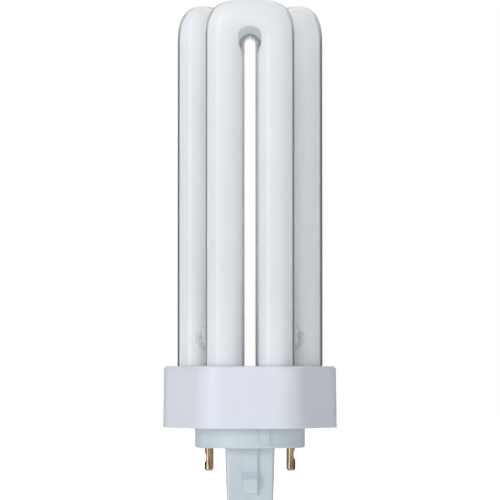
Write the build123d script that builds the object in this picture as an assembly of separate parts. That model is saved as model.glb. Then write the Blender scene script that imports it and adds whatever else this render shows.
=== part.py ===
from build123d import *
import os
from math import asin, atan2, cos, degrees, hypot, radians, sin, sqrt

# A four pin compact fluorescent lamp: three squared U tubes of glass, joined
# into one sealed vessel by two short bridges, cemented into a moulded holder
# that clips over a keyed plug with four brass pins. The vessel is coated
# inside and can't be seen into, so it is one solid with no inner wall.
# Millimetres. Z runs up the lamp's axis, and z = 0 is the face that the pins
# leave. The front, where the vessel's first U stands, looks along -Y.

# Glass vessel
leg_diameter = 11.0
u_pitch = 14.0
ring_radius = 14.92
arch_centre_z = 112.4
bend_height = 12.6
bend_squareness = 3.3
bend_steps = 16
leg_foot_z = 11.0
foot_taper = 2.4
bridge_z = 30.95
bridge_diameter = 5.3

# Pinch seals at the two rear legs, where the lead wires leave the glass
pinch_top_z = 15.0
pinch_neck = 3.6
pinch_foot_z = 9.6
pinch_width = 10.2
pinch_thickness = 2.6

# Exhaust tip under the front left leg
tip_diameter = 4.0
tip_length = 2.9
tip_taper = 1.0

# Tube holder
holder_bottom_z = 5.6
holder_height = 17.25
holder_bottom_radius = 9.52
holder_taper = 0.27
holder_top_rounding = 0.9
holder_wall = 1.6
holder_top_thickness = 2.0
seat_clearance = 0.15
cement_depth = 4.0

# Plug base
boss_wall = 1.2
boss_floor = 2.2
boss_rounding = 0.6
flange_thickness = 1.8
rebate_depth = 0.5
flange_clearance = 0.15
post_width = 13.8
post_depth = 12.6
post_length = 15.0
post_draft_deg = 1.3
post_wall = 1.5
post_corner = 1.2
post_end_chamfer = 0.5
rib_width = 4.1
rib_proud = 0.8
rib_length = 12.9
wedge_top = 6.8
wedge_crest = 8.76
wedge_foot = 12.6
wedge_proud = 1.1
key_offset = 4.08
key_width = 2.55
key_proud = 0.75
key_foot_z = 0.85

# Snap hooks between the plug base and the tube holder
hook_width = 5.0
hook_thickness = 1.2
hook_height = 7.4
hook_barb = 0.6
hook_barb_height = 1.8
hook_clearance = 0.15

# Contact pins
pin_diameter = 2.4
pin_spacing_x = 23.0
pin_spacing_y = 7.0
pin_length = 6.4
pin_tip_rounding = 0.7
pin_root_step = 0.25
pin_collar_diameter = 3.3
pin_collar_height = 0.7
pin_rim_clearance = 0.58
crimp_depth = 0.45
crimp_length = 3.0
left_crimp_z = -2.7
right_crimp_z = -1.85

# Lead wires from the pinch seals to the pins
lead_diameter = 0.6
lead_spacing = 4.8
lead_seal_depth = 2.5
lead_level_z = 8.45
lead_end_z = -4.4
lead_pin_wall = 0.4
sleeve_diameter = 1.2
sleeve_margin = 1.0

# How far a cut runs past the face that it opens
overshoot = 1.0

# Worked out from the sizes above
leg_radius = leg_diameter / 2
seat_radius = leg_radius + seat_clearance
u_plane = sqrt(ring_radius**2 - (u_pitch / 2) ** 2)
half_spread = degrees(asin(u_pitch / 2 / ring_radius))
holder_top_z = holder_bottom_z + holder_height
holder_top_radius = holder_bottom_radius - holder_taper
plate_bottom_z = holder_top_z - holder_top_thickness
cement_foot_z = plate_bottom_z - cement_depth
flange_top_z = holder_bottom_z + flange_thickness
lead_seal_z = pinch_foot_z + lead_seal_depth
pin_radius = pin_diameter / 2
pin_root_radius = pin_radius + pin_root_step
lead_offset = pin_radius - lead_diameter / 2 - lead_pin_wall
pin_circle_radius = hypot(pin_spacing_x, pin_spacing_y) / 2
boss_bore_radius = pin_circle_radius + pin_collar_diameter / 2 + pin_rim_clearance
boss_radius = boss_bore_radius + boss_wall
bottom_up = (Align.CENTER, Align.CENTER, Align.MIN)
u_headings = [270, 30, 150]


def leg_axis(heading, side):
    """The plan position of one leg of the U that faces a heading in degrees."""
    angle = radians(heading + side * half_spread)
    return ring_radius * cos(angle), ring_radius * sin(angle)


leg_axes = [leg_axis(heading, side) for heading in u_headings for side in (-1, 1)]
front_left, front_right, side_right, rear_right, rear_left, side_left = leg_axes
closed_legs = [front_left, front_right, side_right, side_left]
electrode_legs = [rear_left, rear_right]
pin_places = [
    (side * pin_spacing_x / 2, depth * pin_spacing_y / 2)
    for side in (-1, 1)
    for depth in (-1, 1)
]


def upright(place, radius, bottom, top):
    """A round bar on a plan position, between two heights."""
    x, y = place
    return Pos(x, y, bottom) * Cylinder(radius, top - bottom, align=bottom_up)


def arc_section(angle):
    """One ellipse across a U bend, at an angle round the arch centre."""
    c, s = cos(radians(angle)), sin(radians(angle))
    inner = u_pitch / 2 - leg_radius
    outer_x = u_pitch / 2 + leg_radius
    power = bend_squareness
    side_term = (abs(c) / outer_x) ** power
    crest_term = (abs(s) / bend_height) ** power
    outer = (side_term + crest_term) ** (-1 / power)
    middle = (outer + inner) / 2
    half_width = max((outer - inner) / 2, leg_radius)
    plane = Plane(origin=(c * middle, 0, s * middle), x_dir=(c, 0, s), z_dir=(-s, 0, c))
    quarters = [
        Edge.make_ellipse(half_width, leg_radius, plane, start, start + 90)
        for start in (0, 90, 180, 270)
    ]
    return Wire(quarters)


def squared_bend():
    """A squared U bend about the arch centre, from one leg over to the other."""
    sections = [arc_section(180 * step / bend_steps) for step in range(bend_steps + 1)]
    return Solid.make_loft(sections)


def placed_u_bends():
    """The three bends, each turned to its heading on the ring."""
    bend = squared_bend()
    return [
        Rot(0, 0, heading + 90) * Pos(0, -u_plane, arch_centre_z) * bend
        for heading in u_headings
    ]


def closed_leg(place):
    """A leg whose foot is blown shut and narrows to its end."""
    bar = upright(place, leg_radius, leg_foot_z, arch_centre_z)
    return chamfer(bar.edges().sort_by(Axis.Z)[0], foot_taper)


def pinched_leg(place):
    """A leg whose foot is pressed flat round the lead wires."""
    x, y = place
    bar = upright(place, leg_radius, pinch_top_z, arch_centre_z)
    flat = SlotOverall(pinch_width, pinch_thickness)
    neck_z = pinch_top_z - pinch_neck
    neck = loft([Pos(x, y, neck_z) * flat, Pos(x, y, pinch_top_z) * Circle(leg_radius)])
    seal = Pos(x, y, pinch_foot_z) * extrude(flat, neck_z - pinch_foot_z)
    return bar + neck + seal


def bridge(start, end):
    """A short tube fused between the flanks of two legs."""
    span = hypot(end[0] - start[0], end[1] - start[1])
    turn = degrees(atan2(end[1] - start[1], end[0] - start[0]))
    middle_x, middle_y = (start[0] + end[0]) / 2, (start[1] + end[1]) / 2
    tube = Rot(0, 90, 0) * Cylinder(bridge_diameter / 2, span - leg_radius)
    return Pos(middle_x, middle_y, bridge_z) * Rot(0, 0, turn) * tube


def exhaust_tip():
    """The sealed end of the tube through which the vessel was pumped and filled."""
    tip = upright(front_left, tip_diameter / 2, leg_foot_z - tip_length, leg_foot_z + overshoot)
    return chamfer(tip.edges().sort_by(Axis.Z)[0], tip_taper)


def discharge_tube():
    """The whole vessel as one blown and fused piece of glass."""
    glass = placed_u_bends()
    glass += [closed_leg(place) for place in closed_legs]
    glass += [pinched_leg(place) for place in electrode_legs]
    glass += [bridge(front_left, side_left), bridge(front_right, side_right)]
    glass += [exhaust_tip()]
    seals = [
        upright(foot, lead_diameter / 2, pinch_foot_z - overshoot, lead_seal_z)
        for leg in electrode_legs
        for foot in lead_feet(leg)
    ]
    return (Part() + glass) - seals


def lead_feet(leg):
    """Where an electrode's two leads stand in their leg."""
    x, y = leg
    return [(x - lead_spacing / 2, y), (x + lead_spacing / 2, y)]


def holder_plan(radius):
    """The holder's outline: a hexagon on the leg axes, rounded about each leg."""
    return offset(Polygon(*leg_axes, align=None), amount=radius, kind=Kind.ARC)


def hook_heading(index):
    """The heading of a snap hook, in the middle of a long side of the holder."""
    return 90 + 120 * index


hook_wall_y = ring_radius * cos(radians(60 - half_spread))
hook_outer_y = hook_wall_y + holder_bottom_radius - holder_wall - hook_clearance


def on_hook_headings(shape):
    """Three copies of a shape made at the rear, one for each snap hook."""
    return [Rot(0, 0, hook_heading(index) - 90) * shape for index in range(3)]


def snap_pocket():
    """The recess in the skirt that a hook's barb springs into."""
    width = hook_width + 2 * hook_clearance
    height = hook_barb_height + 2 * hook_clearance
    depth = hook_barb + 2 * hook_clearance
    foot = flange_top_z + hook_height - hook_barb_height - hook_clearance
    wall_y = hook_wall_y + holder_bottom_radius - holder_wall
    return Pos(0, wall_y, foot) * Box(
        width, 2 * depth, height, align=(Align.CENTER, Align.CENTER, Align.MIN)
    )


def tube_holder():
    """The moulded collar that carries the glass, open underneath."""
    lower = holder_plan(holder_bottom_radius)
    upper = Pos(0, 0, holder_height) * holder_plan(holder_top_radius)
    shell = Pos(0, 0, holder_bottom_z) * loft([lower, upper], ruled=True)
    shell = fillet(shell.faces().sort_by(Axis.Z)[-1].edges(), holder_top_rounding)
    inside = holder_plan(holder_bottom_radius - holder_wall)
    shell -= Pos(0, 0, holder_bottom_z) * extrude(inside, plate_bottom_z - holder_bottom_z)
    rebate = holder_plan(holder_bottom_radius - holder_wall + rebate_depth)
    shell -= Pos(0, 0, holder_bottom_z) * extrude(rebate, flange_thickness)
    for place in leg_axes:
        shell -= upright(place, seat_radius, holder_bottom_z, holder_top_z + overshoot)
    return shell - on_hook_headings(snap_pocket())


def basing_cement():
    """Cement poured under the holder's top, which fixes it to all six legs."""
    plan = holder_plan(holder_bottom_radius - holder_wall)
    slab = Pos(0, 0, cement_foot_z) * extrude(plan, cement_depth)
    return slab - [
        upright(place, leg_radius, cement_foot_z - overshoot, plate_bottom_z + overshoot)
        for place in leg_axes
    ]


def snap_hook():
    """A springy hook on the flange, with its barb facing out."""
    inner_y = hook_outer_y - hook_thickness
    root_z = holder_bottom_z
    tip_z = flange_top_z + hook_height
    barb_z = tip_z - hook_barb_height
    profile = Polyline(
        (inner_y, root_z),
        (hook_outer_y, root_z),
        (hook_outer_y, barb_z),
        (hook_outer_y + hook_barb, barb_z),
        (hook_outer_y, tip_z),
        (inner_y, tip_z),
        close=True,
    )
    side = make_face(Plane.YZ * profile)
    return extrude(side, hook_width / 2, both=True)


def post():
    """The tapered spigot that finds the lampholder's centre."""
    plan = RectangleRounded(post_width, post_depth, post_corner)
    bar = extrude(plan, -post_length, taper=post_draft_deg)
    end = bar.faces().sort_by(Axis.Z)[0]
    return chamfer(end.edges(), post_end_chamfer)


def post_cavity():
    """The core of the post, open upwards into the boss."""
    inset = post_wall + post_length * sin(radians(post_draft_deg))
    plan = RectangleRounded(
        post_width - 2 * inset, post_depth - 2 * inset, post_corner / 2
    )
    depth = post_length - post_wall + boss_floor
    return Pos(0, 0, boss_floor - depth) * extrude(plan, depth)


def centre_rib():
    """The rib down the front of the post, with the catch that a spring holds."""
    face_y = -post_depth / 2
    rib_y = face_y - rib_proud
    crest_y = rib_y - wedge_proud
    root_y = face_y + post_wall
    profile = Polyline(
        (root_y, 0),
        (rib_y, 0),
        (rib_y, -wedge_top),
        (crest_y, -wedge_crest),
        (rib_y, -wedge_foot),
        (rib_y, -rib_length),
        (root_y, -rib_length),
        close=True,
    )
    side = make_face(Plane.YZ * profile)
    return extrude(side, rib_width / 2, both=True)


def key_rib():
    """The keying rib on the boss, which only fits a lampholder of its rating."""
    radius = boss_radius
    blank = Cylinder(radius + key_proud, holder_bottom_z - key_foot_z, align=bottom_up)
    slab = Box(
        key_width,
        radius + 2 * key_proud,
        holder_bottom_z,
        align=(Align.CENTER, Align.MAX, Align.MIN),
    )
    core = Cylinder(radius - boss_wall / 2, holder_bottom_z, align=bottom_up)
    rib = (blank & Pos(key_offset, 0, 0) * slab) - core
    return Pos(0, 0, key_foot_z) * rib


def twice(shape):
    """A shape and its copy turned half round the lamp's axis."""
    return [shape, Rot(0, 0, 180) * shape]


def plug_base():
    """The keyed plug: flange, boss, post, ribs and hooks in one moulding."""
    flange_radius = holder_bottom_radius - holder_wall + rebate_depth - flange_clearance
    flange = Pos(0, 0, holder_bottom_z) * extrude(holder_plan(flange_radius), flange_thickness)
    boss = Cylinder(boss_radius, flange_top_z, align=bottom_up)
    boss = fillet(boss.edges().sort_by(Axis.Z)[0], boss_rounding)
    base = boss + flange + post() + twice(centre_rib()) + twice(key_rib())
    base += on_hook_headings(snap_hook())
    base -= Pos(0, 0, boss_floor) * Cylinder(boss_bore_radius, flange_top_z, align=bottom_up)
    base -= post_cavity()
    return base - [
        upright(place, pin_root_radius, -overshoot, boss_floor + overshoot)
        for place in pin_places
    ]


def contact_pin(place):
    """A brass pin: a thick root in the floor, a collar over it, and a crimped shank.

    The crimp is pressed in from the pin's outer side and grips its lead beside the axis.
    """
    x, y = place
    root_top = boss_floor + pin_collar_height
    bar = upright((0, 0), pin_radius, -pin_length, boss_floor)
    bar = fillet(bar.edges().sort_by(Axis.Z)[0], pin_tip_rounding)
    bar += upright((0, 0), pin_root_radius, 0, boss_floor)
    bar += upright((0, 0), pin_collar_diameter / 2, boss_floor, root_top)
    bar -= upright((-lead_offset, 0), lead_diameter / 2, lead_end_z, root_top + overshoot)
    punch = (crimp_length**2 / 4 + crimp_depth**2) / (2 * crimp_depth)
    reach = pin_radius - crimp_depth + punch
    crimp_z = right_crimp_z if x > 0 else left_crimp_z
    dent = Pos(reach, 0, crimp_z) * Rot(90, 0, 0) * Cylinder(punch, pin_diameter)
    turn = 0 if x > 0 else 180
    return Pos(x, y, 0) * Rot(0, 0, turn) * (bar - dent)


def lead_landing(side, depth):
    """Where a lead comes down into its pin, on the side of the pin's axis that faces in."""
    return side * (pin_spacing_x / 2 - lead_offset), depth * pin_spacing_y / 2


def lead_wire(foot, landing):
    """A stiff wire: down out of its seal, level to its pin and down inside it."""
    path = Polyline(
        (foot[0], foot[1], lead_seal_z),
        (foot[0], foot[1], lead_level_z),
        (landing[0], landing[1], lead_level_z),
        (landing[0], landing[1], lead_end_z),
    )
    start = Plane(origin=path @ 0, z_dir=path % 0)
    return sweep(start * Circle(lead_diameter / 2), path=path, transition=Transition.RIGHT)


def lead_sleeve(foot, landing):
    """An insulating sleeve on a lead's level run."""
    run = Vector(landing[0] - foot[0], landing[1] - foot[1], 0)
    start = Vector(foot[0], foot[1], lead_level_z) + run.normalized() * sleeve_margin
    plane = Plane(origin=start, z_dir=run)
    ring = Circle(sleeve_diameter / 2) - Circle(lead_diameter / 2)
    return extrude(plane * ring, run.length - 2 * sleeve_margin)


def lamp():
    """Every piece of the lamp, by name."""
    pieces = {
        "discharge_tube": discharge_tube(),
        "tube_holder": tube_holder(),
        "basing_cement": basing_cement(),
        "plug_base": plug_base(),
    }
    for side, leg in ((-1, rear_left), (1, rear_right)):
        outer_foot, inner_foot = sorted(lead_feet(leg), key=lambda foot: -abs(foot[0]))
        for depth, foot in ((1, outer_foot), (-1, inner_foot)):
            pin = (side * pin_spacing_x / 2, depth * pin_spacing_y / 2)
            corner = ("rear" if depth > 0 else "front") + ("_right" if side > 0 else "_left")
            pieces["contact_pin_" + corner] = contact_pin(pin)
            landing = lead_landing(side, depth)
            pieces["lead_wire_" + corner] = lead_wire(foot, landing)
            pieces["lead_sleeve_" + corner] = lead_sleeve(foot, landing)
    return pieces


os.makedirs("parts", exist_ok=True)
for name, piece in lamp().items():
    export_step(piece, f"parts/{name}.step")
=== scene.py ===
import logging
import math
from dataclasses import dataclass
from enum import Enum
from typing import Any, Iterable, Optional, Sequence

import bmesh
import bpy
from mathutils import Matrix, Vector


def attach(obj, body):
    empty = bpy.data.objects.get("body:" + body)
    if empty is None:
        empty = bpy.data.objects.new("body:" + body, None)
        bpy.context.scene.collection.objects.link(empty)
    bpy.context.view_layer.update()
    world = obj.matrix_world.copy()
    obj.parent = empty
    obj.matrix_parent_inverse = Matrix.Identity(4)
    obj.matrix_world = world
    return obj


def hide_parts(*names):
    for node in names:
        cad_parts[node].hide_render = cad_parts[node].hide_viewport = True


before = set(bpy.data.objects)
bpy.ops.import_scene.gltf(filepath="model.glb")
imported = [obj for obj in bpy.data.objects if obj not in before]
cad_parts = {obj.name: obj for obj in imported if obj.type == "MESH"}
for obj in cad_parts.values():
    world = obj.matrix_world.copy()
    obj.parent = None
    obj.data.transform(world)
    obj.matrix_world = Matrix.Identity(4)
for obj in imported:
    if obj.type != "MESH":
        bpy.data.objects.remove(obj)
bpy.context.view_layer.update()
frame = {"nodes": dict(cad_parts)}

LOG = logging.getLogger("lamp")
MM = 0.001

Point = tuple[float, float, float]
Skin = tuple[list[Point], list[list[int]]]


def linear(hex_colour: str) -> tuple[float, float, float, float]:
    """Turn an sRGB hex colour into the linear colour that a shader takes.

    Args:
        hex_colour: Six hex digits after a hash, such as "#d8dbe0".

    Returns:
        Red, green, blue and an alpha of one.
    """
    channels = [int(hex_colour[start:start + 2], 16) / 255 for start in (1, 3, 5)]
    low_slope, knee, offset, power = 12.92, 0.04045, 0.055, 2.4
    red, green, blue = (
        c / low_slope if c <= knee else ((c + offset) / (1 + offset)) ** power
        for c in channels
    )
    return red, green, blue, 1.0


def add_node(
    tree: bpy.types.NodeTree,
    kind: str,
    settings: Optional[dict[Any, Any]] = None,
    links: Optional[dict[Any, bpy.types.NodeSocket]] = None,
) -> bpy.types.Node:
    """Add one shader node with its settings and its links.

    Args:
        tree: The node tree that gets the node.
        kind: The node's type name.
        settings: Values by input name or number, or by the node's own setting.
        links: Output sockets by the input name or number they feed.

    Returns:
        The new node.
    """
    node = tree.nodes.new(kind)
    for key, value in (settings or {}).items():
        if isinstance(key, int) or key in node.inputs:
            node.inputs[key].default_value = value
        else:
            setattr(node, key, value)
    for key, socket in (links or {}).items():
        tree.links.new(socket, node.inputs[key])
    return node


def new_material(name: str) -> tuple[bpy.types.Material, bpy.types.NodeTree]:
    """Start a material with an empty node tree.

    Args:
        name: The material's name.

    Returns:
        The material and its tree.
    """
    made = bpy.data.materials.new(name)
    made.use_nodes = True
    made.node_tree.nodes.clear()
    return made, made.node_tree


def finish_tree(tree: bpy.types.NodeTree, shader: bpy.types.NodeSocket) -> None:
    """Lead a shader to the material's output."""
    add_node(tree, "ShaderNodeOutputMaterial", links={"Surface": shader})


def object_pattern(
    tree: bpy.types.NodeTree, size_mm: Point, kind: str, settings: dict[Any, Any]
) -> bpy.types.NodeSocket:
    """Lay a three-dimensional pattern on a piece at its real size.

    Args:
        tree: The node tree.
        size_mm: The pattern's grain along x, y and z, in millimetres.
        kind: The texture node's type name.
        settings: The texture node's settings.

    Returns:
        The pattern's strength, from 0 to 1.
    """
    place = add_node(tree, "ShaderNodeTexCoord")
    repeats = tuple(1 / (MM * size) for size in size_mm)
    mapping = add_node(
        tree, "ShaderNodeMapping", {"Scale": repeats}, {"Vector": place.outputs["Object"]}
    )
    texture = add_node(tree, kind, {"Scale": 1.0, **settings}, {"Vector": mapping.outputs[0]})
    return texture.outputs["Fac"]


def object_axes(tree: bpy.types.NodeTree) -> bpy.types.Node:
    """Split each point of a piece into its x, y and z.

    Args:
        tree: The node tree.

    Returns:
        The node with the outputs X, Y and Z.
    """
    place = add_node(tree, "ShaderNodeTexCoord")
    return add_node(tree, "ShaderNodeSeparateXYZ", links={0: place.outputs["Object"]})


def solid_surface(
    tree: bpy.types.NodeTree,
    colours: tuple[str, str],
    patches: bpy.types.NodeSocket,
    relief: bpy.types.NodeSocket,
    depth_mm: float,
    settings: dict[str, float],
    strength: float = 1.0,
) -> None:
    """Finish a tree with a surface of two colours and a relief, each shared out by a pattern.

    Args:
        tree: The material's node tree.
        colours: The colour where the patches are weak, and where they are strong.
        patches: The pattern that shares out the two colours.
        relief: The pattern that lifts the surface.
        depth_mm: The relief's depth, in millimetres.
        settings: The surface's own values, such as its roughness.
        strength: How much of the relief's tilt is shown.
    """
    tone = add_node(
        tree,
        "ShaderNodeMix",
        {"data_type": "RGBA", 6: linear(colours[0]), 7: linear(colours[1])},
        {0: patches},
    )
    bump = add_node(
        tree,
        "ShaderNodeBump",
        {"Strength": strength, "Distance": depth_mm * MM},
        {"Height": relief},
    )
    surface = add_node(
        tree,
        "ShaderNodeBsdfPrincipled",
        settings,
        {"Base Color": tone.outputs[2], "Normal": bump.outputs[0]},
    )
    finish_tree(tree, surface.outputs[0])


@dataclass(frozen=True)
class DrawnGlass:
    """Soda lime glass tube, drawn and then bent in a flame.

    To the eye it is clear, with sharp glints and a dark line where its wall is seen edge on.
    Drawing leaves faint waves along the tube, at their real size here.
    """

    name: str = "drawn_soda_lime_glass"
    tint: str = "#fefffe"
    ior: float = 1.52
    wave_mm: Point = (2.2, 2.2, 26.0)
    wave_depth_mm: float = 0.0008
    rim_start: float = 0.4
    rim_full: float = 0.54
    rim_share: float = 0.85

    def material(self) -> bpy.types.Material:
        """Make the glass, whose edge mirrors its surroundings as a dark line against white.

        Returns:
            The material.
        """
        made, tree = new_material(self.name)
        waves = object_pattern(tree, self.wave_mm, "ShaderNodeTexNoise", {"Detail": 1.0})
        bump = add_node(
            tree,
            "ShaderNodeBump",
            {"Strength": 1.0, "Distance": self.wave_depth_mm * MM},
            {"Height": waves},
        )
        glass = add_node(
            tree,
            "ShaderNodeBsdfPrincipled",
            {
                "Base Color": linear(self.tint),
                "Roughness": 0.0,
                "IOR": self.ior,
                "Transmission Weight": 1.0,
            },
            {"Normal": bump.outputs[0]},
        )
        slant = add_node(tree, "ShaderNodeLayerWeight", {"Blend": 0.5})
        share = add_node(
            tree,
            "ShaderNodeMapRange",
            {"From Min": self.rim_start, "From Max": self.rim_full, "To Max": self.rim_share},
            {"Value": slant.outputs["Facing"]},
        )
        rim = add_node(tree, "ShaderNodeBsdfGlossy", {"Roughness": 0.0})
        edged = add_node(
            tree,
            "ShaderNodeMixShader",
            links={0: share.outputs[0], 1: glass.outputs[0], 2: rim.outputs[0]},
        )
        # Light on its way to or from the coat passes the clear wall unbent.
        path = add_node(tree, "ShaderNodeLightPath")
        lit_through = add_node(
            tree,
            "ShaderNodeMath",
            {"operation": "MAXIMUM"},
            {0: path.outputs["Is Shadow Ray"], 1: path.outputs["Is Diffuse Ray"]},
        )
        clear = add_node(tree, "ShaderNodeBsdfTransparent")
        both = add_node(
            tree,
            "ShaderNodeMixShader",
            links={0: lit_through.outputs[0], 1: edged.outputs[0], 2: clear.outputs[0]},
        )
        finish_tree(tree, both.outputs[0])
        return made


@dataclass(frozen=True)
class PhosphorCoat:
    """Phosphor powder, flushed down inside the tube and baked.

    To the eye it is a dead matt white without gloss, softly lit from within, because light
    that falls on one side of a tube comes out at the other. It is thicker towards the foot,
    where the slurry drained, so less light comes through there. The clouds have the size of
    the slurry's real runs.
    """

    name: str = "baked_phosphor_powder"
    powder: str = "#fbfbfb"
    thin: str = "#f6f7f8"
    cloud_mm: Point = (7.0, 7.0, 18.0)
    glow_through: float = 0.65
    glow_at_foot: float = 0.15
    foot_heights_mm: tuple[float, float] = (15.0, 55.0)
    # A darker colour shown to the eye only: painted shade for the tube's shaded inside.
    painted_shade: Optional[str] = None
    # The darker colour halfway along a bridge: partly a thinner coat, partly painted shade
    # between the legs.
    middle: Optional[str] = None
    middle_reach_mm: tuple[float, float] = (0.4, 3.4)
    bridge_bearing: float = 60.0

    def material(self) -> bpy.types.Material:
        """Make the coat, with faint clouds where the slurry ran thinner.

        Returns:
            The material.
        """
        made, tree = new_material(self.name)
        clouds = object_pattern(tree, self.cloud_mm, "ShaderNodeTexNoise", {"Detail": 3.0})
        tone = add_node(
            tree,
            "ShaderNodeMix",
            {"data_type": "RGBA", 6: linear(self.powder), 7: linear(self.thin)},
            {0: clouds},
        )
        # Partly a thinner coat, partly painted shade: the bridge's middle is darkened.
        if self.middle:
            tone = self.thin_and_shaded_middle(tree, tone)
        # Painted shade: the inner faces in the bends look darker to the eye only.
        if self.painted_shade:
            tone = self.painted_shade_for_the_eye(tree, tone)
        matt = add_node(
            tree,
            "ShaderNodeBsdfPrincipled",
            {"Roughness": 1.0, "Specular IOR Level": 0.0},
            {"Base Color": tone.outputs[2]},
        )
        through = add_node(
            tree, "ShaderNodeBsdfTranslucent", links={"Color": tone.outputs[2]}
        )
        mixed = add_node(
            tree,
            "ShaderNodeMixShader",
            links={0: self.glow_share(tree), 1: matt.outputs[0], 2: through.outputs[0]},
        )
        finish_tree(tree, mixed.outputs[0])
        return made

    def glow_share(self, tree: bpy.types.NodeTree) -> bpy.types.NodeSocket:
        """Find how much of the light comes through the coat, which thickens towards the foot.

        Args:
            tree: The node tree.

        Returns:
            The share, by height.
        """
        parts = object_axes(tree)
        low, high = self.foot_heights_mm
        share = add_node(
            tree,
            "ShaderNodeMapRange",
            {
                "interpolation_type": "SMOOTHSTEP",
                "From Min": low * MM,
                "From Max": high * MM,
                "To Min": self.glow_at_foot,
                "To Max": self.glow_through,
            },
            {"Value": parts.outputs["Z"]},
        )
        return share.outputs[0]

    def thin_and_shaded_middle(
        self, tree: bpy.types.NodeTree, tone: bpy.types.Node
    ) -> bpy.types.Node:
        """Darken the coat halfway along a bridge, where the blown glass stretched it thin and
        where the bridge lies in shade between the legs: partly a thinner coat, partly painted
        shade.

        Args:
            tree: The node tree.
            tone: The node that gives the whole coat's colour.

        Returns:
            The node that gives the graded colour.
        """
        parts = object_axes(tree)
        aside = add_node(
            tree, "ShaderNodeMath", {"operation": "ABSOLUTE"}, {0: parts.outputs["X"]}
        )
        along = add_node(
            tree, "ShaderNodeCombineXYZ", links={0: aside.outputs[0], 1: parts.outputs["Y"]}
        )
        bearing = math.radians(self.bridge_bearing)
        off = add_node(
            tree,
            "ShaderNodeVectorMath",
            {"operation": "DOT_PRODUCT", 1: (math.cos(bearing), math.sin(bearing), 0.0)},
            {0: along.outputs[0]},
        )
        away = add_node(
            tree, "ShaderNodeMath", {"operation": "ABSOLUTE"}, {0: off.outputs["Value"]}
        )
        low, high = self.middle_reach_mm
        share = add_node(
            tree,
            "ShaderNodeMapRange",
            {"interpolation_type": "SMOOTHSTEP", "From Min": low * MM, "From Max": high * MM},
            {"Value": away.outputs[0]},
        )
        return add_node(
            tree,
            "ShaderNodeMix",
            {"data_type": "RGBA", 6: linear(self.middle)},
            {0: share.outputs[0], 7: tone.outputs[2]},
        )

    def painted_shade_for_the_eye(
        self, tree: bpy.types.NodeTree, tone: bpy.types.Node
    ) -> bpy.types.Node:
        """Paint shade on the coat for the eye, while it passes on light as the white powder does.

        Args:
            tree: The node tree.
            tone: The node that gives the white powder's colour.

        Returns:
            The node that gives the colour with painted shade.
        """
        path = add_node(tree, "ShaderNodeLightPath")
        return add_node(
            tree,
            "ShaderNodeMix",
            {"data_type": "RGBA", 6: linear(self.painted_shade)},
            {0: path.outputs["Is Diffuse Ray"], 7: tone.outputs[2]},
        )


@dataclass(frozen=True)
class MouldedPlastic:
    """Glass filled polyester, injection moulded against a fine spark-eroded steel.

    To the eye it is even and satin, with a soft sheen that follows the form. The mould's
    grain is really about 0.05 mm, too fine to show, and is drawn coarser.
    """

    name: str
    colour: str
    shade: str
    roughness: float
    ior: float = 1.5
    grain_mm: float = 0.35
    grain_depth_mm: float = 0.006
    flow_mm: Point = (9.0, 9.0, 16.0)

    def material(self) -> bpy.types.Material:
        """Make the plastic, with a fine mould grain and faint flow clouds.

        Returns:
            The material.
        """
        made, tree = new_material(self.name)
        flow = object_pattern(tree, self.flow_mm, "ShaderNodeTexNoise", {"Detail": 2.0})
        grain_size = (self.grain_mm,) * 3
        grain = object_pattern(tree, grain_size, "ShaderNodeTexNoise", {"Detail": 2.0})
        settings = {"Roughness": self.roughness, "IOR": self.ior}
        colours = (self.colour, self.shade)
        solid_surface(tree, colours, flow, grain, self.grain_depth_mm, settings)
        return made


@dataclass(frozen=True)
class DrawnMetal:
    """Metal drawn through a die.

    To the eye it is bright, with long reflections along it and duller spots where hands and
    age have been. The die's lines are really a few hundredths of a millimetre apart, and
    are drawn coarser.
    """

    name: str
    colour: str
    stain: str
    roughness: float
    line_mm: Point = (0.12, 0.12, 3.0)
    line_depth_mm: float = 0.003
    line_strength: float = 0.6
    stain_mm: Point = (1.6, 1.6, 2.4)

    def material(self) -> bpy.types.Material:
        """Make the metal, with fine lines along its length.

        Returns:
            The material.
        """
        made, tree = new_material(self.name)
        dull = object_pattern(tree, self.stain_mm, "ShaderNodeTexNoise", {"Detail": 3.0})
        lines = object_pattern(tree, self.line_mm, "ShaderNodeTexNoise", {"Detail": 1.0})
        settings = {"Metallic": 1.0, "Roughness": self.roughness}
        colours, depth = (self.colour, self.stain), self.line_depth_mm
        solid_surface(tree, colours, dull, lines, depth, settings, self.line_strength)
        return made


@dataclass(frozen=True)
class BasingCement:
    """Cured basing cement: marble powder bound in resin, poured and baked.

    To the eye it is dull, tan and gritty. The grit is really 0.1 to 0.2 mm, and is drawn
    coarser.
    """

    name: str = "cured_basing_cement"
    light: str = "#cdbf9f"
    dark: str = "#a8977a"
    roughness: float = 0.95
    grit_mm: float = 0.5
    grit_depth_mm: float = 0.05

    def material(self) -> bpy.types.Material:
        """Make the cement, with its grit in both colour and relief.

        Returns:
            The material.
        """
        made, tree = new_material(self.name)
        size = (self.grit_mm,) * 3
        grit = object_pattern(tree, size, "ShaderNodeTexNoise", {"Detail": 5.0})
        colours, settings = (self.light, self.dark), {"Roughness": self.roughness}
        solid_surface(tree, colours, grit, grit, self.grit_depth_mm, settings)
        return made


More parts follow.
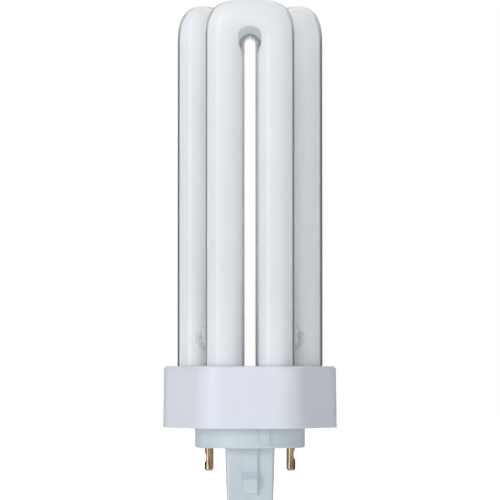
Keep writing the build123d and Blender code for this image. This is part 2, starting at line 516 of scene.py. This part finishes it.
@dataclass(frozen=True)
class BraidedSleeve:
    """Glass fibre sleeving, braided and varnished.

    To the eye it is pale and slightly waxy, with a fine slanting braid at its real size.
    """

    name: str = "varnished_glass_fibre_braid"
    yarn: str = "#e6e0cf"
    # The darker colour of the braid's low places is painted shade in its hollows.
    valley_shade: str = "#b9b09a"
    roughness: float = 0.55
    yarn_mm: float = 0.3
    yarn_depth_mm: float = 0.04
    yarn_sway: float = 0.6

    def material(self) -> bpy.types.Material:
        """Make the sleeving, with bands a yarn apart and painted shade in the braid's hollows.

        Returns:
            The material.
        """
        made, tree = new_material(self.name)
        size = (self.yarn_mm * 2 * math.pi,) * 3
        slanting = {"bands_direction": "DIAGONAL", "Distortion": self.yarn_sway}
        braid = object_pattern(tree, size, "ShaderNodeTexWave", slanting)
        # The braid's low places take the darker colour: painted shade.
        colours, settings = (self.valley_shade, self.yarn), {"Roughness": self.roughness}
        solid_surface(tree, colours, braid, braid, self.yarn_depth_mm, settings)
        return made


class Slot(Enum):
    """The material slots for the pieces that are made here."""

    GLASS = "coated_glass"


class FootKind(Enum):
    """How the foot of a leg is shut."""

    ROUND = "blown shut"
    TIPPED = "blown shut, with the exhaust tip"
    PINCHED = "pressed flat round the leads"


@dataclass(frozen=True)
class Ring:
    """One section across a tube, in the plane of its U, in millimetres.

    The long half width lies along (wide_u, wide_z), and half_depth across the U's plane.
    The bare angle says how far the coat keeps from the U's inner side, and press how far
    the pinching jaws have flattened the section, from 0 to 1.
    """

    u: float
    z: float
    wide_u: float
    wide_z: float
    half_width: float
    half_depth: float
    bare: float = 0.0
    press: float = 0.0


def mesh_object(
    name: str, points: Sequence[Sequence[float]], faces: Sequence[Sequence[int]]
) -> bpy.types.Object:
    """Make a smooth shaded mesh object.

    Args:
        name: The object's name.
        points: Its points, in millimetres.
        faces: The faces that join them.

    Returns:
        The object.
    """
    mesh = bpy.data.meshes.new(name)
    mesh.from_pydata([[MM * value for value in point] for point in points], [], faces)
    mesh.polygons.foreach_set("use_smooth", [True] * len(mesh.polygons))
    mesh.update()
    made = bpy.data.objects.new(name, mesh)
    bpy.context.scene.collection.objects.link(made)
    return made


def loft(loops: Sequence[Sequence[Point]]) -> Skin:
    """Join loops of the same count into a closed skin, whose last two faces are its caps.

    Args:
        loops: The loops of points, in order along the skin.

    Returns:
        The points, and the faces that join them.
    """
    count = len(loops[0])
    points = [point for loop in loops for point in loop]
    faces = []
    for row in range(len(loops) - 1):
        near, far = row * count, (row + 1) * count
        for step in range(count):
            after = (step + 1) % count
            faces.append([near + step, near + after, far + after, far + step])
    last = (len(loops) - 1) * count
    faces.append(list(range(count))[::-1])
    faces.append([last + step for step in range(count)])
    return points, faces


def gathered(skins: Iterable[Skin]) -> Skin:
    """Put several skins into the points and faces of one mesh.

    Args:
        skins: The points and faces of each skin.

    Returns:
        All the points, and the faces that join them.
    """
    points: list[Point] = []
    faces: list[list[int]] = []
    for skin_points, skin_faces in skins:
        start = len(points)
        points += skin_points
        faces += [[start + corner for corner in face] for face in skin_faces]
    return points, faces


def turn_outward(piece: bpy.types.Object) -> None:
    """Turn every face of a closed skin to look out of it.

    Args:
        piece: The object with the skin.
    """
    skin = bmesh.new()
    skin.from_mesh(piece.data)
    bmesh.ops.recalc_face_normals(skin, faces=skin.faces)
    skin.to_mesh(piece.data)
    skin.free()


def fuse(body: bpy.types.Object, others: Sequence[bpy.types.Object]) -> None:
    """Fuse other skins with a body, and delete them.

    Args:
        body: The object that keeps the result.
        others: The objects to fuse with it.
    """
    for other in others:
        modifier = body.modifiers.new("join", "BOOLEAN")
        modifier.operation = "UNION"
        modifier.solver = "EXACT"
        modifier.object = other
    graph = bpy.context.evaluated_depsgraph_get()
    mesh = bpy.data.meshes.new_from_object(body.evaluated_get(graph))
    body.modifiers.clear()
    body.data = mesh
    for other in others:
        bpy.data.objects.remove(other)


@dataclass
class Vessel:
    """The sealed glass vessel: a clear wall, and the phosphor coat inside it.

    Lengths are in millimetres and angles in degrees.
    """

    leg_radius: float = 5.5
    u_pitch: float = 14.0
    u_plane: float = 13.176
    arch_centre_z: float = 112.4
    bend_height: float = 12.6
    bend_squareness: float = 3.3
    leg_foot_z: float = 11.0
    foot_taper: float = 2.4
    tip_radius: float = 2.0
    tip_length: float = 2.9
    tip_taper: float = 1.0
    tip_gap: float = 0.01
    pinch_top_z: float = 15.0
    pinch_neck_z: float = 11.4
    pinch_foot_z: float = 9.6
    pinch_half_width: float = 5.1
    pinch_half_depth: float = 1.3
    pinch_squareness: float = 4.0
    bridge_z: float = 30.95
    bridge_radius: float = 2.65
    bridge_flare: float = 0.6
    bridge_flare_reach: float = 1.4
    bridge_sunk_depth: float = 1.5
    wall: float = 0.75
    inner_skin: float = 0.05
    coat_thickness: float = 0.12
    crown_bare_angle: float = 62.0
    shoulder_bare_angle: float = 40.0
    rear_bare_share: float = 0.5
    bare_seam: float = 0.3
    bare_leg_drop: float = 3.2
    leg_ring_step: float = 6.0
    bridge_ring_step: float = 0.5
    bridge_ring_reach: float = 4.5
    foot_ring_gap: float = 0.4
    round_steps: int = 64
    bend_steps: int = 72
    bridge_steps: int = 28
    neck_steps: int = 6
    bare_steps: int = 8
    # This coat's darker colour is painted shade, for the shaded inside of the bends seen through
    # bare glass.
    painted_shade: PhosphorCoat = PhosphorCoat("phosphor_with_painted_shade", painted_shade="#d6dddb")
    # This coat's darker middle is partly a thinner coat and partly painted shade between the
    # legs.
    thin: PhosphorCoat = PhosphorCoat("thin_phosphor_with_painted_shade", middle="#b4bdbb")
    turns: tuple[float, float, float] = (0.0, 120.0, 240.0)
    feet: tuple[tuple[FootKind, FootKind], ...] = (
        (FootKind.ROUND, FootKind.TIPPED),
        (FootKind.PINCHED, FootKind.ROUND),
        (FootKind.ROUND, FootKind.PINCHED),
    )

    def bend_ring(self, angle: float, inset: float) -> Ring:
        """Find one section of the squared bend.

        Args:
            angle: Degrees round the arch centre, from the first leg.
            inset: How far inside the outer skin the section lies.

        Returns:
            The section.
        """
        c, s = math.cos(math.radians(angle)), math.sin(math.radians(angle))
        inner = self.u_pitch / 2 - self.leg_radius
        outer_u = self.u_pitch / 2 + self.leg_radius
        power = self.bend_squareness
        sides = (abs(c) / outer_u) ** power + (abs(s) / self.bend_height) ** power
        outer = sides ** (-1 / power)
        middle = (outer + inner) / 2
        half_width = max((outer - inner) / 2, self.leg_radius)
        return Ring(
            u=c * middle,
            z=self.arch_centre_z + s * middle,
            wide_u=c,
            wide_z=s,
            half_width=half_width - inset,
            half_depth=self.leg_radius - inset,
            bare=self.shoulder_bare_angle
            + (self.crown_bare_angle - self.shoulder_bare_angle) * max(s, 0.0) ** 2,
        )

    def leg_ring(self, side: int, z: float, radius: float, **extra: float) -> Ring:
        """Find one round section of a straight leg."""
        return Ring(side * self.u_pitch / 2, z, side, 0.0, radius, radius, **extra)

    def foot_rings(self, side: int, kind: FootKind, inset: float) -> list[Ring]:
        """Find the sections of a leg's foot.

        Args:
            side: 1 for a U's first leg, -1 for its second.
            kind: How the foot is shut.
            inset: How far inside the outer skin the sections lie.

        Returns:
            The sections, from the foot's end upwards.
        """
        full = self.leg_radius - inset
        if kind is FootKind.PINCHED:
            return [
                self.leg_ring(side, z, full, press=press)
                for z, press in self.pinch_heights(inset)
            ]
        foot = self.leg_foot_z + inset
        narrow = self.leg_radius - self.foot_taper - inset / 2
        rings = [
            self.leg_ring(side, foot, narrow),
            self.leg_ring(side, foot + self.foot_taper, full),
        ]
        if kind is FootKind.TIPPED and not inset:
            end = foot - self.tip_length
            rings = [
                self.leg_ring(side, end, self.tip_radius - self.tip_taper),
                self.leg_ring(side, end + self.tip_taper, self.tip_radius),
                self.leg_ring(side, foot - self.tip_gap, self.tip_radius),
            ] + rings
        return rings

    def pinch_heights(self, inset: float) -> list[tuple[float, float]]:
        """Find the heights up a pinched foot.

        Args:
            inset: How far inside the outer skin the sections lie.

        Returns:
            Each height, and how far it is pressed flat.
        """
        if inset:
            heights = [(self.pinch_neck_z + inset, 1.0)]
        else:
            heights = [(self.pinch_foot_z, 1.0), (self.pinch_neck_z, 1.0)]
        start = heights[-1][0]
        for step in range(1, self.neck_steps + 1):
            share = step / self.neck_steps
            eased = share * share * (3 - 2 * share)
            heights.append((start + share * (self.pinch_top_z - start), 1 - eased))
        return heights

    def u_rings(self, feet: tuple[FootKind, FootKind], inset: float) -> list[Ring]:
        """Find every section of one U.

        Args:
            feet: How the feet of its first and its second leg are shut.
            inset: How far inside the outer skin the sections lie.

        Returns:
            The sections, from the foot of the first leg to that of the second.
        """
        full = self.leg_radius - inset
        legs = []
        for side, kind in zip((1, -1), feet):
            rings = self.foot_rings(side, kind, inset)
            heights = self.leg_heights(rings[-1].z)
            legs.append(
                rings + [self.leg_ring(side, z, full, bare=bare) for z, bare in heights]
            )
        crown = [
            self.bend_ring(180 * step / self.bend_steps, inset)
            for step in range(self.bend_steps + 1)
        ]
        return legs[0] + crown + legs[1][::-1]

    def leg_heights(self, start: float) -> list[tuple[float, float]]:
        """Find the heights up a straight leg, close together where a bridge meets it.

        Args:
            start: The height of the last section of the foot.

        Returns:
            Each height with its bare angle, which opens quickly just under the bend.
        """
        top = self.arch_centre_z - self.bare_leg_drop
        heights = [start + self.foot_ring_gap, start + 3 * self.foot_ring_gap]
        z = self.bridge_z - self.bridge_ring_reach
        while z < self.bridge_z + self.bridge_ring_reach:
            heights.append(z)
            z += self.bridge_ring_step
        while z < top:
            heights.append(z)
            z += self.leg_ring_step
        made = [(height, 0.0) for height in heights]
        for step in range(self.bare_steps):
            share = step / self.bare_steps
            height = top + self.bare_leg_drop * share
            made.append((height, self.shoulder_bare_angle * math.sqrt(share)))
        return made

    def loop(
        self, ring: Ring, turn: float, angles: Iterable[float], inset: float = 0.0
    ) -> list[Point]:
        """Find the points of one section in the lamp's frame.

        Args:
            ring: The section.
            turn: How far its U is turned about the lamp's axis, in degrees.
            angles: Degrees round the section, from its outer side.
            inset: How much smaller the section is drawn.

        Returns:
            The points, in millimetres.
        """
        cos_turn, sin_turn = math.cos(math.radians(turn)), math.sin(math.radians(turn))
        points = []
        for angle in angles:
            c, s = math.cos(math.radians(angle)), math.sin(math.radians(angle))
            along, across = c * (ring.half_width - inset), s * (ring.half_depth - inset)
            if ring.press:
                along, across = self.pressed(ring, along, across, turn)
            x = ring.u + along * ring.wide_u
            y = -self.u_plane + across
            z = ring.z + along * ring.wide_z
            points.append((x * cos_turn - y * sin_turn, x * sin_turn + y * cos_turn, z))
        return points

    def pressed(
        self, ring: Ring, along: float, across: float, turn: float
    ) -> tuple[float, float]:
        """Flatten a round section as the pinching jaws do, which close along the lamp's y.

        Args:
            ring: The section.
            along: A point's place on the round section, along the U's plane.
            across: Its place across the U's plane.
            turn: How far the U is turned about the lamp's axis, in degrees.

        Returns:
            The point's place along and across, once pressed.
        """
        local = math.atan2(across, along * ring.wide_u) + math.radians(turn)
        reach = math.hypot(along, across)
        power = self.pinch_squareness
        shrink = reach / self.leg_radius
        wide, thin = self.pinch_half_width * shrink, self.pinch_half_depth * shrink
        terms = (abs(math.cos(local)) / wide) ** power + (abs(math.sin(local)) / thin) ** power
        slot_reach = terms ** (-1 / power)
        share = 1 + ring.press * (slot_reach / reach - 1)
        return along * share, across * share

    def wall_skin(self, name: str, inset: float) -> bpy.types.Object:
        """Build one closed skin of the glass: its outside, or at an inset its inside.

        Args:
            name: The object's name.
            inset: How far inside the outer skin it lies.

        Returns:
            The three tubes and two bridges, fused.
        """
        angles = [360 * step / self.round_steps for step in range(self.round_steps)]
        skin = mesh_object(
            name,
            *gathered(
                loft([self.loop(ring, turn, angles) for ring in self.u_rings(feet, inset)])
                for turn, feet in zip(self.turns, self.feet)
            ),
        )
        turn_outward(skin)
        fuse(skin, [self.bridge_skin("bridge", side, inset) for side in (-1, 1)])
        return skin

    def leg_place(self, turn: float, side: int) -> Vector:
        """Find the plan position of a leg.

        Args:
            turn: How far its U is turned about the lamp's axis.
            side: 1 for the U's first leg, -1 for its second.

        Returns:
            The leg's axis at height 0.
        """
        c, s = math.cos(math.radians(turn)), math.sin(math.radians(turn))
        x, y = side * self.u_pitch / 2, -self.u_plane
        return Vector((x * c - y * s, x * s + y * c, 0))

    def bridge_ends(self, side: int) -> tuple[Vector, Vector]:
        """Find the axes of the two legs that the right (1) or left (-1) bridge joins."""
        front, right, left = self.turns
        return self.leg_place(front, side), self.leg_place(right if side > 0 else left, -side)

    def bridge_skin(self, name: str, side: int, inset: float) -> bpy.types.Object:
        """Build the skin of a bridge, flared where the flame fused it to the legs.

        Args:
            name: The object's name.
            side: 1 for the right bridge, -1 for the left one.
            inset: How far inside the outer skin it lies.

        Returns:
            The closed skin, which starts and ends inside the legs.
        """
        start, end = self.bridge_ends(side)
        span = (end - start).length
        run = (end - start).normalized()
        across = Vector((-run.y, run.x, 0))
        lift = Vector((0, 0, self.bridge_z))
        sunk = self.leg_radius - self.bridge_sunk_depth
        turns = [2 * math.pi * step / self.round_steps for step in range(self.round_steps)]
        loops = []
        for step in range(self.bridge_steps + 1):
            distance = sunk + (span - 2 * sunk) * step / self.bridge_steps
            free = min(distance, span - distance) - self.leg_radius
            flare = self.bridge_flare * math.exp(-max(free, 0.0) / self.bridge_flare_reach)
            radius = self.bridge_radius + flare - inset
            middle = start + run * distance + lift
            loop = []
            for turn in turns:
                aside = across * radius * math.cos(turn)
                loop.append(tuple(middle + aside + Vector((0, 0, radius * math.sin(turn)))))
            loops.append(loop)
        skin = mesh_object(name, *loft(loops))
        turn_outward(skin)
        return skin

    def glass(self) -> bpy.types.Object:
        """Build the clear wall.

        Returns:
            One object with the closed skin outside and the one inside, turned inwards.
        """
        outside = self.wall_skin("vessel_glass", 0.0)
        depth = self.wall + self.coat_thickness + self.inner_skin
        inside = self.wall_skin("vessel_inside", depth)
        skin = bmesh.new()
        skin.from_mesh(inside.data)
        bmesh.ops.reverse_faces(skin, faces=skin.faces)
        skin.from_mesh(outside.data)
        skin.to_mesh(outside.data)
        skin.free()
        bpy.data.objects.remove(inside)
        faces = outside.data.polygons
        faces.foreach_set("use_smooth", [True] * len(faces))
        return outside

    def coat(self) -> bpy.types.Object:
        """Build the phosphor coat on the wall, left off inside the bends.

        Returns:
            The coat of the three tubes.
        """
        skins = []
        for turn, feet in zip(self.turns, self.feet):
            loops = []
            for ring in self.u_rings(feet, self.wall):
                front = 180.0 - max(ring.bare, self.bare_seam)
                rear = 180.0 - max(ring.bare * self.rear_bare_share, self.bare_seam)
                sweep = [
                    -front + (front + rear) * step / self.round_steps
                    for step in range(self.round_steps + 1)
                ]
                outer = self.loop(ring, turn, sweep)
                inner = self.loop(ring, turn, sweep[::-1], self.coat_thickness)
                loops.append(outer + inner)
            points, faces = loft(loops)
            skins.append((points, faces[:-2] + self.coat_ends(len(loops), len(loops[0]))))
        coat = mesh_object("phosphor_coat", *gathered(skins))
        turn_outward(coat)
        return coat

    def coat_ends(self, loops: int, count: int) -> list[list[int]]:
        """Find the narrow faces that shut the coat's two ends between its two sides.

        Args:
            loops: The number of loops along the coat.
            count: The number of points in each.

        Returns:
            The faces.
        """
        faces = []
        for start in (0, (loops - 1) * count):
            for step in range(self.round_steps):
                near, far = start + step, start + count - 1 - step
                faces.append([near, near + 1, far - 1, far])
        return faces

    def bridge_coats(self) -> list[bpy.types.Object]:
        """Build the thin coat that is left in the two bridges, blown open after coating."""
        sides = (("bridge_coat_left", -1), ("bridge_coat_right", 1))
        return [self.bridge_skin(name, side, self.wall) for name, side in sides]

    def paint_shade_in_inner_bends(self, coat: bpy.types.Object) -> None:
        """Give the coat's inner faces in the bends the finish with painted shade, which stands
        for the shade inside the tube where it is seen through bare glass.

        Args:
            coat: The coat, whose second finish is the one with painted shade.
        """
        around = 2 * (self.round_steps + 1)
        low = (self.arch_centre_z - 2 * self.bare_leg_drop) * MM
        for face in coat.data.polygons:
            innermost = min(corner % around for corner in face.vertices) >= self.round_steps
            if innermost and face.center.z > low:
                face.material_index = 1

    def build(self) -> list[tuple[bpy.types.Object, Slot]]:
        """Build the vessel's pieces and dress them.

        Returns:
            Each piece with its slot.
        """
        glass, coat = self.glass(), self.coat()
        glass.data.materials.append(DrawnGlass().material())
        coat.data.materials.append(PhosphorCoat().material())
        coat.data.materials.append(self.painted_shade.material())
        # The coat's inner faces in the bends take painted shade.
        self.paint_shade_in_inner_bends(coat)
        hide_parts("discharge_tube")
        bridge_coats = self.bridge_coats()
        thin = self.thin.material()
        for piece in bridge_coats:
            piece.data.materials.append(thin)
        return [(piece, Slot.GLASS) for piece in (glass, coat, *bridge_coats)]


@dataclass
class Cap:
    """The holder, the plug and what they carry, as the CAD gives them."""

    white: MouldedPlastic = MouldedPlastic(
        "white_moulded_polyester", "#dfe1e5", "#d9dbe0", 0.36
    )
    grey: MouldedPlastic = MouldedPlastic(
        "grey_moulded_polyester", "#cdd4d7", "#c8d0d3", 0.42
    )
    brass: DrawnMetal = DrawnMetal("drawn_pin_brass", "#d3bb90", "#a08c66", 0.08)
    lead: DrawnMetal = DrawnMetal("plated_lead_wire", "#c9c4bd", "#9c958c", 0.3)

    def finishes(self) -> dict[str, bpy.types.Material]:
        """Make the finish of each CAD node.

        Returns:
            The finishes, by the start of the node's name.
        """
        return {
            "tube_holder": self.white.material(),
            "plug_base": self.grey.material(),
            "contact_pin": self.brass.material(),
            "lead_wire": self.lead.material(),
            "lead_sleeve": BraidedSleeve().material(),
            "basing_cement": BasingCement().material(),
        }

    def dress(self, nodes: dict[str, bpy.types.Object]) -> None:
        """Give each CAD node of the cap its finish.

        Args:
            nodes: The CAD's objects, by node name.
        """
        for start, material in self.finishes().items():
            for name, node in nodes.items():
                if name.startswith(start):
                    node.data.materials.clear()
                    node.data.materials.append(material)
                    LOG.info("dressed %s in %s", name, material.name)


class Fade(Enum):
    """How a studio card fades towards plain white."""

    NONE = "not at all"
    SIDES = "towards its two sides"
    FROM_BEHIND = "away from the place behind the lamp, and somewhat upwards"


def points_round(bearings: Iterable[float], distance: float, height: float) -> list[Point]:
    """Find points round the lamp's axis.

    Args:
        bearings: The bearing of each point, in degrees from +X about +Z.
        distance: Their distance from the axis, in metres.
        height: Their height, in metres.

    Returns:
        The points, in millimetres.
    """
    turns = [math.radians(bearing) for bearing in bearings]
    return [
        (distance * math.cos(turn) / MM, distance * math.sin(turn) / MM, height / MM)
        for turn in turns
    ]


@dataclass
class Studio:
    """The white sweep, the soft boxes and the dark cards, all outside the view.

    Lengths are in metres and angles in degrees. Bearings run from +X about +Z.
    """

    lens_mm: float = 247.9
    sensor_mm: float = 36.0
    camera_place: Point = (0.0, -0.970, 0.0204)
    camera_tilt: float = 2.078
    aim_height: float = 0.055
    floor_z: float = -0.06
    floor_radius: float = 6.0
    floor_steps: int = 64
    floor_glow: float = 0.32
    paper: str = "#f4f4f4"
    white: str = "#ffffff"
    box_white: str = "#f8faff"
    shade: str = "#e2eefb"
    ambient: float = 0.23
    card_steps: int = 12
    card_foot: float = -0.055
    window_distance: float = 1.5
    window_top: float = 1.6
    rear_distance: float = 1.6
    rear_card_top: float = 1.2
    pin_card_distance: float = 0.055
    pin_card_heights: tuple[float, float] = (-0.034, -0.004)
    pin_window_heights: tuple[float, float] = (-0.034, -0.006)
    side_fade_start: float = 0.1
    behind: float = 90.0
    behind_start: float = 38.0
    top_fade_heights: tuple[float, float] = (0.1, 0.6)
    top_fade_tone: float = 0.55

    def world(self) -> None:
        """Set white for the eye, gloss and glass, and a plain soft level for the object."""
        world = bpy.data.worlds.new("white_sweep")
        bpy.context.scene.world = world
        world.use_nodes = True
        tree = world.node_tree
        tree.nodes.clear()
        path = add_node(tree, "ShaderNodeLightPath")
        seen = path.outputs["Is Camera Ray"]
        for kind in ("Is Glossy Ray", "Is Transmission Ray"):
            seen = add_node(
                tree, "ShaderNodeMath", {"operation": "MAXIMUM"}, {0: seen, 1: path.outputs[kind]}
            ).outputs[0]
        soft = add_node(
            tree,
            "ShaderNodeBackground",
            {"Color": linear(self.shade), "Strength": self.ambient},
        )
        white = add_node(
            tree, "ShaderNodeBackground", {"Color": linear(self.white), "Strength": 1.0}
        )
        glow = add_node(
            tree,
            "ShaderNodeMixShader",
            links={0: seen, 1: soft.outputs[0], 2: white.outputs[0]},
        )
        add_node(tree, "ShaderNodeOutputWorld", links={"Surface": glow.outputs[0]})

    def floor(self) -> None:
        """Lay a pale floor, which keeps the object's shadow and is clear from below."""
        steps = self.floor_steps
        bearings = [360 * step / steps for step in range(steps)]
        rim = points_round(bearings, self.floor_radius, self.floor_z)
        floor = mesh_object("floor", rim, [list(range(steps))])
        made, tree = new_material("white_paper_floor")
        path = add_node(tree, "ShaderNodeLightPath")
        paper = add_node(tree, "ShaderNodeBsdfDiffuse", {"Color": linear(self.paper)})
        level = add_node(
            tree,
            "ShaderNodeMapRange",
            {"To Min": self.floor_glow, "To Max": 1.0},
            {"Value": path.outputs["Is Camera Ray"]},
        )
        lift = add_node(
            tree,
            "ShaderNodeEmission",
            {"Color": linear(self.white)},
            {"Strength": level.outputs[0]},
        )
        lit = add_node(
            tree, "ShaderNodeAddShader", links={0: paper.outputs[0], 1: lift.outputs[0]}
        )
        side = add_node(tree, "ShaderNodeNewGeometry")
        clear = add_node(tree, "ShaderNodeBsdfTransparent")
        both = add_node(
            tree,
            "ShaderNodeMixShader",
            links={0: side.outputs["Backfacing"], 1: lit.outputs[0], 2: clear.outputs[0]},
        )
        finish_tree(tree, both.outputs[0])
        floor.data.materials.append(made)

    def soft_box(
        self, name: str, place: Point, size: tuple[float, float], power: float
    ) -> None:
        """Hang a soft box that looks at the middle of the lamp.

        Args:
            name: The soft box's name.
            place: Where it hangs.
            size: Its width and height.
            power: Its power, in watts.
        """
        data = bpy.data.lights.new(name, "AREA")
        data.shape = "RECTANGLE"
        data.size, data.size_y = size
        data.energy = power
        data.color = linear(self.box_white)[:3]
        box = bpy.data.objects.new(name, data)
        bpy.context.scene.collection.objects.link(box)
        box.location = place
        aim = Vector((0, 0, self.aim_height)) - Vector(place)
        box.rotation_euler = aim.to_track_quat("-Z", "Y").to_euler()
        box.visible_camera = False
        box.visible_glossy = False
        box.visible_transmission = False

    def glow_panel(
        self,
        name: str,
        bearings: tuple[float, float],
        distance: float,
        heights: tuple[float, float],
        tone: float,
        fade: Fade = Fade.NONE,
    ) -> None:
        """Stand a curved card, dark or lit, that is seen in gloss and glass only.

        Args:
            name: The card's name.
            bearings: Where it starts and ends.
            distance: Its distance from the lamp's axis.
            heights: Its lower and upper edge.
            tone: How bright it looks.
            fade: Where it fades towards plain white.
        """
        start, end = bearings
        steps = self.card_steps
        columns = [start + (end - start) * step / steps for step in range(steps + 1)]
        low, high = heights
        points = points_round(columns, distance, low) + points_round(columns, distance, high)
        row = steps + 1
        faces = [[step, step + 1, row + step + 1, row + step] for step in range(steps)]
        card = mesh_object(name, points, faces)
        made, tree = new_material("studio_card")
        look = {"Color": linear(self.white), "Strength": tone}
        glow = add_node(tree, "ShaderNodeEmission", look)
        if fade is not Fade.NONE:
            tree.links.new(self.faded(tree, bearings, tone, fade), glow.inputs["Strength"])
        finish_tree(tree, glow.outputs[0])
        card.data.materials.append(made)
        card.visible_camera = False
        card.visible_diffuse = False
        card.visible_shadow = False

    def faded(
        self, tree: bpy.types.NodeTree, bearings: tuple[float, float], tone: float, fade: Fade
    ) -> bpy.types.NodeSocket:
        """Find a card's tone by its place round the lamp.

        Args:
            tree: The node tree.
            bearings: Where the card starts and ends.
            tone: Its tone where it isn't faded.
            fade: Where it fades.

        Returns:
            The tone's socket.
        """
        parts = object_axes(tree)
        turn = add_node(
            tree,
            "ShaderNodeMath",
            {"operation": "ARCTAN2"},
            {0: parts.outputs["Y"], 1: parts.outputs["X"]},
        )
        from_behind = fade is Fade.FROM_BEHIND
        middle = self.behind if from_behind else sum(bearings) / 2
        reach = max(abs(bearing - middle) for bearing in bearings)
        start = self.behind_start if from_behind else self.side_fade_start * reach
        off = add_node(
            tree,
            "ShaderNodeMath",
            {"operation": "SUBTRACT", 1: math.radians(middle)},
            {0: turn.outputs[0]},
        )
        away = add_node(tree, "ShaderNodeMath", {"operation": "ABSOLUTE"}, {0: off.outputs[0]})
        fades = [(away.outputs[0], math.radians(start), math.radians(reach), 1.0)]
        if from_behind:
            fades.append((parts.outputs["Z"], *self.top_fade_heights, self.top_fade_tone))
        tones = [
            add_node(
                tree,
                "ShaderNodeMapRange",
                {
                    "interpolation_type": "SMOOTHERSTEP",
                    "From Min": low,
                    "From Max": high,
                    "To Min": tone,
                    "To Max": lightest,
                },
                {"Value": value},
            ).outputs[0]
            for value, low, high, lightest in fades
        ]
        if not from_behind:
            return tones[0]
        lighter = add_node(
            tree, "ShaderNodeMath", {"operation": "MAXIMUM"}, {0: tones[0], 1: tones[1]}
        )
        return lighter.outputs[0]

    def camera(self) -> None:
        """Set up the photograph's camera, about a metre away."""
        data = bpy.data.cameras.new("camera")
        data.lens = self.lens_mm
        data.sensor_width = self.sensor_mm
        camera = bpy.data.objects.new("camera", data)
        bpy.context.scene.collection.objects.link(camera)
        camera.location = self.camera_place
        camera.rotation_euler = (math.radians(90 + self.camera_tilt), 0, 0)
        bpy.context.scene.camera = camera

    def lights(self) -> None:
        """Hang the soft boxes, which light the object at a plain level."""
        self.soft_box("window_light", (-0.94, -1.04, 0.22), (0.4, 0.5), 5.3)
        self.soft_box("front_soft_box", (0.2, -1.6, 0.22), (1.0, 0.5), 5.1)
        self.soft_box("top_soft_box", (-0.1, -0.5, 1.2), (0.8, 0.8), 6.0)
        self.soft_box("backdrop_light", (0.0, 1.5, 0.1), (1.6, 1.0), 9.0)

    def cards(self) -> None:
        """Stand the cards that the glass and the brass mirror."""
        window, rear = (self.card_foot, self.window_top), (self.card_foot, self.rear_card_top)
        for name, bearings, distance, heights, tone, fade in (
            ("window", (-147.0, -117.0), self.window_distance, window, 2.6, Fade.SIDES),
            ("card_rear_right", (2.0, 82.0), self.rear_distance, rear, 0.08, Fade.FROM_BEHIND),
            ("card_rear_left", (98.0, 156.0), self.rear_distance, rear, 0.08, Fade.FROM_BEHIND),
        ):
            self.glow_panel(name, bearings, distance, heights, tone, fade)
        for name, bearings, heights, tone in (
            ("pin_window", (-160.0, -112.0), self.pin_window_heights, 2.0),
            ("pin_card_middle", (-111.0, -92.0), self.pin_card_heights, 0.06),
            ("pin_card_front", (-91.0, -22.0), self.pin_card_heights, 0.4),
            ("pin_card_rear", (-21.0, 199.0), self.pin_card_heights, 0.05),
        ):
            self.glow_panel(name, bearings, self.pin_card_distance, heights, tone)

    def build(self) -> None:
        """Set up the whole studio."""
        self.camera()
        self.world()
        self.floor()
        self.lights()
        self.cards()
        bpy.context.scene.view_settings.view_transform = "Standard"


def ride_on_lamp(pieces: Sequence[tuple[bpy.types.Object, Slot]]) -> None:
    """Fix pieces to the lamp's one body.

    Args:
        pieces: Each piece with its slot.
    """
    for piece, slot in pieces:
        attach(piece, "root")
        LOG.info("built %s with %d faces", piece.name, len(piece.data.polygons))


def main() -> None:
    """Build the lamp's pieces, dress its nodes and set up the studio."""
    logging.basicConfig(level=logging.INFO, format="%(name)s: %(message)s")
    Studio().build()
    ride_on_lamp(Vessel().build())
    Cap().dress(frame["nodes"])


if __name__ == "__main__":
    main()
